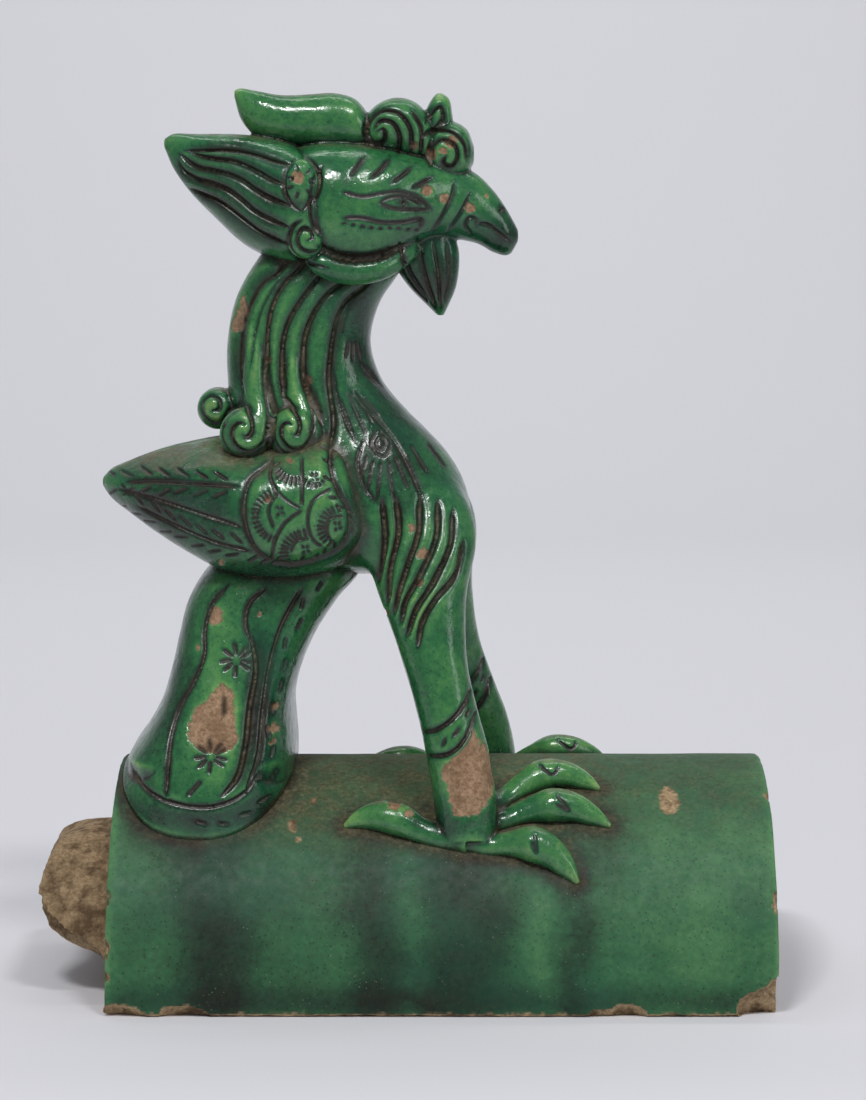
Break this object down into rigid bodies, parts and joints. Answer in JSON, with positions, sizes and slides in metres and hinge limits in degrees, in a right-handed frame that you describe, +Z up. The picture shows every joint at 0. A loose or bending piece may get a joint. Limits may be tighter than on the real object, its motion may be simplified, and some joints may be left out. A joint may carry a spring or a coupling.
{
  "type": "phoenix ridge tile",
  "caption": "Half-round glazed ridge tile with a spigot at one end and a standing phoenix astride it, set along the crest of a tiled roof as an ornament.",
  "frame": {"origin": "middle of the overall length, on the plane that the tile's two long bed edges rest on", "axes": "+X along the ridge, the way the phoenix faces; +Z up; -Y is the side that the picture shows"},
  "size_m": [0.261, 0.15, 0.32],
  "materials": {
    "green_glaze": "transparent copper-green lead glaze over buff earthenware, worn through in patches"
  },
  "bodies": {
    "root": {"phoenix_ridge_tile": "green_glaze"}
  },
  "joints": []
}
